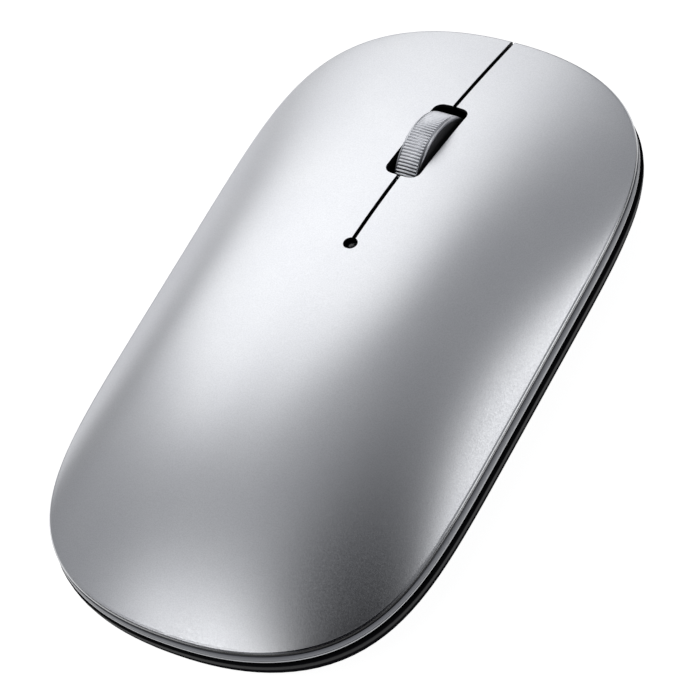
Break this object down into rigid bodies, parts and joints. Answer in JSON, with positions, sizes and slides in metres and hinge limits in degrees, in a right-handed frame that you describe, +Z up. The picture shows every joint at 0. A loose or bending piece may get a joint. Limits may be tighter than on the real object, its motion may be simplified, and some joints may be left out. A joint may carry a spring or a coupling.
{
  "type": "computer mouse",
  "caption": "Slim wireless mouse with a one-piece blasted-metal top split by a centre slit, a ribbed metal scroll wheel and a black lower case.",
  "frame": {"origin": "on the table under the middle of the mouse", "axes": "+Y to the front (scroll-wheel end), +X to the user's right, +Z up"},
  "size_m": [0.06, 0.11, 0.0228],
  "materials": {
    "blasted_metal": "fine bead-blasted and clear anodised, polished edge",
    "wheel_metal": "satin, finely ribbed",
    "case_plastic": "fine moulded texture",
    "door_plastic": "fine moulded texture",
    "frame_plastic": "matt",
    "key_carrier": "matt",
    "wheel_core": "satin",
    "mechanism": "satin",
    "steel": "plated",
    "contacts": "nickel plated",
    "laminate": "solder-masked board",
    "chip": "moulded package",
    "capacitor_sleeve": "sleeve",
    "switch_body": "moulded",
    "plunger": "moulded",
    "lens": "clear optical",
    "smoked": "smoked clear",
    "cell_wrap": "printed film left blank",
    "controls": "moulded",
    "glide": "low-friction sheet"
  },
  "bodies": {
    "case": {"palm_shell": "blasted_metal", "inner_frame": "frame_plastic", "base_case": "case_plastic", "main_board": "laminate", "controller_chip": "chip", "crystal": "steel", "capacitor": "capacitor_sleeve", "status_led": "lens", "light_pipe": "smoked", "optical_sensor": "chip", "sensor_lens": "lens", "sensor_led": "lens", "left_switch": "switch_body", "right_switch": "switch_body", "middle_switch": "switch_body", "power_switch": "switch_body", "pairing_switch": "switch_body", "cell_left": "cell_wrap", "cell_right": "cell_wrap", "contact_bridge": "contacts", "contact_positive": "contacts", "contact_negative": "contacts", "case_screw_front": "steel", "case_screw_left": "steel", "case_screw_right": "steel", "board_screw_left": "steel", "board_screw_right": "steel", "foot_front": "glide", "foot_left": "glide", "foot_right": "glide"},
    "left_key": {"left_button": "blasted_metal", "left_key_plate": "key_carrier"},
    "right_key": {"right_button": "blasted_metal", "right_key_plate": "key_carrier"},
    "left_switch_plunger": {"left_plunger": "plunger"},
    "right_switch_plunger": {"right_plunger": "plunger"},
    "carriage": {"wheel_carriage": "mechanism", "wheel_encoder": "switch_body"},
    "wheel": {"wheel_tyre": "wheel_metal", "wheel_hub": "wheel_core", "wheel_axle": "steel"},
    "middle_switch_plunger": {"middle_plunger": "plunger"},
    "power_slider": {"power_knob": "controls"},
    "pairing_cap": {"pairing_button": "controls"},
    "door": {"battery_door": "door_plastic"}
  },
  "joints": [
    {"name": "left_click", "type": "hinge", "parent": "case", "child": "left_key", "pos_m": [-0.015, 0.00555, 0.015], "axis": [-1, 0, 0], "range_deg": [0, 0.8], "stiffness_Nm_per_rad": 2, "springref_deg": -0.57},
    {"name": "right_click", "type": "hinge", "parent": "case", "child": "right_key", "pos_m": [0.015, 0.00555, 0.015], "axis": [-1, 0, 0], "range_deg": [0, 0.8], "stiffness_Nm_per_rad": 2, "springref_deg": -0.57},
    {"name": "left_plunger_press", "type": "slide", "parent": "case", "child": "left_switch_plunger", "axis": [0, 0, -1], "range_m": [0, 0.0005]},
    {"name": "right_plunger_press", "type": "slide", "parent": "case", "child": "right_switch_plunger", "axis": [0, 0, -1], "range_m": [0, 0.0005]},
    {"name": "wheel_press", "type": "hinge", "parent": "case", "child": "carriage", "pos_m": [0, 0.0384, 0.0095], "axis": [1, 0, 0], "range_deg": [0, 1.6], "stiffness_Nm_per_rad": 0.4, "springref_deg": -0.86},
    {"name": "middle_plunger_press", "type": "slide", "parent": "case", "child": "middle_switch_plunger", "axis": [0, 0, -1], "range_m": [0, 0.0007]},
    {"name": "wheel_spin", "type": "hinge", "parent": "carriage", "child": "wheel", "pos_m": [0, 0.0281, 0.01195], "axis": [1, 0, 0], "continuous": true},
    {"name": "power_slide", "type": "slide", "parent": "case", "child": "power_slider", "axis": [0, 1, 0], "range_m": [0, 0.002]},
    {"name": "pairing_press", "type": "slide", "parent": "case", "child": "pairing_cap", "axis": [0, 0, 1], "range_m": [0, 0.0004], "stiffness_N_per_m": 800, "springref_m": -0.0003},
    {"name": "door_slide", "type": "slide", "parent": "case", "child": "door", "axis": [0, -1, 0], "range_m": [0, 0.012]}
  ],
  "couplings": [
    {"joint": "left_plunger_press", "follows": "left_click", "m_per_rad": 0.03045},
    {"joint": "right_plunger_press", "follows": "right_click", "m_per_rad": 0.03045},
    {"joint": "middle_plunger_press", "follows": "wheel_press", "m_per_rad": 0.0234}
  ]
}
